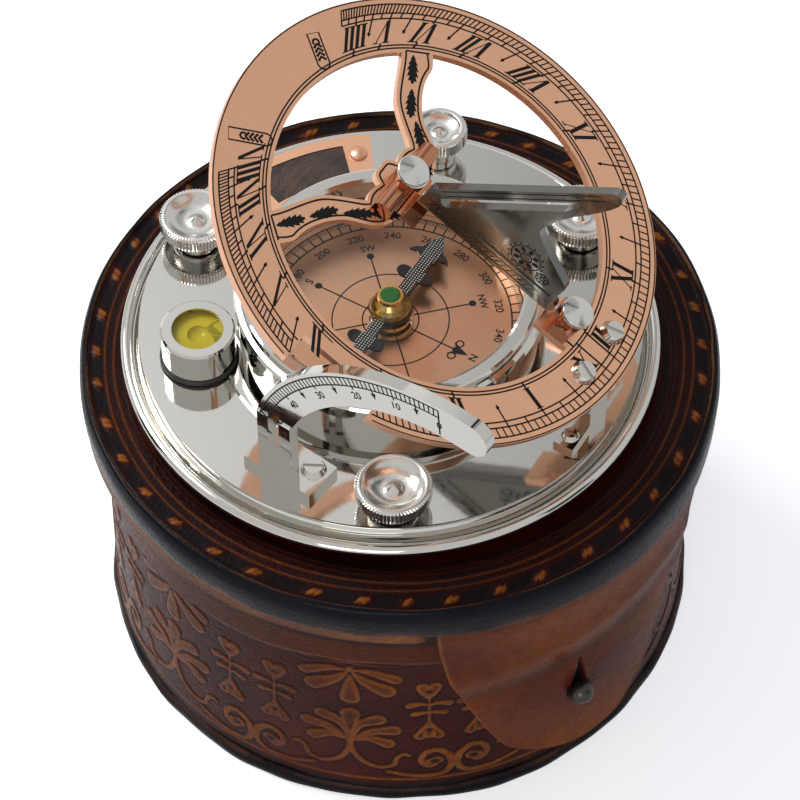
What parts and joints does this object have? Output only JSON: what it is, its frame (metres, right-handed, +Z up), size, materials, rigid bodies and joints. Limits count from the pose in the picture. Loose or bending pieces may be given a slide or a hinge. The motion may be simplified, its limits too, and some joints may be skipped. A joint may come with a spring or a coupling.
{
  "type": "sundial compass",
  "caption": "Equinoctial sundial compass of nickel and copper with a tilting hour ring, folding gnomon and latitude arc, standing on its round tooled leather case.",
  "frame": {"origin": "middle of the flat underside of the leather case", "axes": "+Z up; +X towards the noon side of the instrument, where the hour ring is hinged (the card reads north there); the latitude arc is on the -Y side"},
  "size_m": [0.1516, 0.1506, 0.1741],
  "materials": {
    "nickel": "polished",
    "copper": "satin copper",
    "dark_copper": "polished copper",
    "brass": "satin",
    "steel": "turned",
    "gun_metal": "dark, smooth",
    "blackened_steel": "matt",
    "tooled_leather": "waxed, tooled",
    "smooth_leather": "waxed",
    "black_leather": "glossy",
    "clear_glass": "clear",
    "green_glass": "polished",
    "level_fluid": "clear, tinted",
    "black_rubber": "matt"
  },
  "bodies": {
    "case": {"case_body": "tooled_leather", "case_bottom_edge": "black_leather", "flap_stud": "gun_metal"},
    "lid": {"case_lid": "tooled_leather", "lid_binding": "black_leather", "closing_flap": "smooth_leather"},
    "instrument": {"base_plate": "nickel", "compass_bowl": "nickel", "bowl_screws": "nickel", "compass_card": "copper", "compass_bezel": "nickel", "compass_glass": "clear_glass", "needle_pivot": "steel", "level_cup": "nickel", "level_seal": "black_rubber", "level_fluid": "level_fluid", "level_glass": "clear_glass", "blank_plaque": "copper", "plaque_rivets": "copper", "leveller_bushes": "nickel", "clamp_bush": "nickel", "lever_bracket": "brass", "lever_pin": "steel", "ring_hinge_post": "nickel", "hinge_post_screws": "nickel", "arc_foot": "nickel", "arc_foot_screw": "nickel", "arc_pin": "steel"},
    "needle": {"compass_needle": "blackened_steel", "needle_cap": "brass", "cap_jewel": "green_glass"},
    "ring": {"hour_ring": "copper", "ring_hinge_block": "copper", "ring_hinge_pin": "steel", "ring_screws": "nickel", "gnomon_south_bracket": "dark_copper", "gnomon_north_bracket": "dark_copper", "gnomon_pivot_pins": "steel", "gnomon_clamp_screws": "nickel"},
    "style": {"gnomon": "nickel"},
    "arc": {"latitude_arc": "nickel"},
    "clamp_turner": {"clamp_screw": "steel", "clamp_stop": "brass", "clamp_knob": "nickel"},
    "lifter": {"lifter_lever": "brass", "lever_nut": "brass", "lifter_collar": "brass"},
    "south_foot": {"south_leveller_foot": "nickel"},
    "south_screw": {"south_leveller_rod": "steel", "south_leveller_knob": "nickel"},
    "northwest_foot": {"northwest_leveller_foot": "nickel"},
    "northwest_screw": {"northwest_leveller_rod": "steel", "northwest_leveller_knob": "nickel"},
    "northeast_foot": {"northeast_leveller_foot": "nickel"},
    "northeast_screw": {"northeast_leveller_rod": "steel", "northeast_leveller_knob": "nickel"}
  },
  "joints": [
    {"name": "lid_lift", "type": "slide", "parent": "case", "child": "lid", "axis": [0, 0, 1], "range_m": [0, 0.06], "deforming": ["closing_flap"]},
    {"name": "instrument_lift", "type": "slide", "parent": "lid", "child": "instrument", "axis": [0, 0, 1], "range_m": [0, 0.05]},
    {"name": "needle_turn", "type": "hinge", "parent": "instrument", "child": "needle", "pos_m": [-0.0017, -0.001, 0.1], "axis": [0, 0, 1], "continuous": true},
    {"name": "ring_tilt", "type": "hinge", "parent": "instrument", "child": "ring", "pos_m": [0.0523, -0.001, 0.11056], "axis": [0, 1, 0], "range_deg": [-27.84, 32.16]},
    {"name": "gnomon_fold", "type": "hinge", "parent": "ring", "child": "style", "pos_m": [0.01258, -0.001, 0.14285], "axis": [-0.8843, 0, 0.467], "range_deg": [0, 90]},
    {"name": "arc_fold", "type": "hinge", "parent": "instrument", "child": "arc", "pos_m": [-0.00054, -0.05161, 0.1163], "axis": [0.9936, -0.1132, 0], "range_deg": [0, 90]},
    {"name": "south_leveller_rise", "type": "slide", "parent": "instrument", "child": "south_foot", "axis": [0, 0, 1], "range_m": [0, 0.0038]},
    {"name": "south_leveller_turn", "type": "hinge", "parent": "south_foot", "child": "south_screw", "pos_m": [-0.05448, -0.00257, 0.095], "axis": [0, 0, 1], "range_deg": [0, 1705]},
    {"name": "northwest_leveller_rise", "type": "slide", "parent": "instrument", "child": "northwest_foot", "axis": [0, 0, 1], "range_m": [0, 0.0038]},
    {"name": "northwest_leveller_turn", "type": "hinge", "parent": "northwest_foot", "child": "northwest_screw", "pos_m": [0.02333, 0.04549, 0.095], "axis": [0, 0, 1], "range_deg": [0, 1705]},
    {"name": "northeast_leveller_rise", "type": "slide", "parent": "instrument", "child": "northeast_foot", "axis": [0, 0, 1], "range_m": [0, 0.0038]},
    {"name": "northeast_leveller_turn", "type": "hinge", "parent": "northeast_foot", "child": "northeast_screw", "pos_m": [0.02604, -0.04592, 0.095], "axis": [0, 0, 1], "range_deg": [0, 1705]},
    {"name": "clamp_turn", "type": "hinge", "parent": "instrument", "child": "clamp_turner", "pos_m": [-0.01844, 0.0496, 0.095], "axis": [0, 0, 1], "range_deg": [-164, 0]},
    {"name": "lever_rock", "type": "hinge", "parent": "instrument", "child": "lifter", "pos_m": [-0.01426, 0.03698, 0.09005], "axis": [-0.9494, -0.314, 0], "range_deg": [0, 1.59]}
  ],
  "couplings": [
    {"joint": "south_leveller_rise", "follows": "south_leveller_turn", "m_per_rad": 0.00012732},
    {"joint": "northwest_leveller_rise", "follows": "northwest_leveller_turn", "m_per_rad": 0.00012732},
    {"joint": "northeast_leveller_rise", "follows": "northeast_leveller_turn", "m_per_rad": 0.00012732},
    {"joint": "lever_rock", "follows": "clamp_turn", "ratio": -0.0095732}
  ]
}
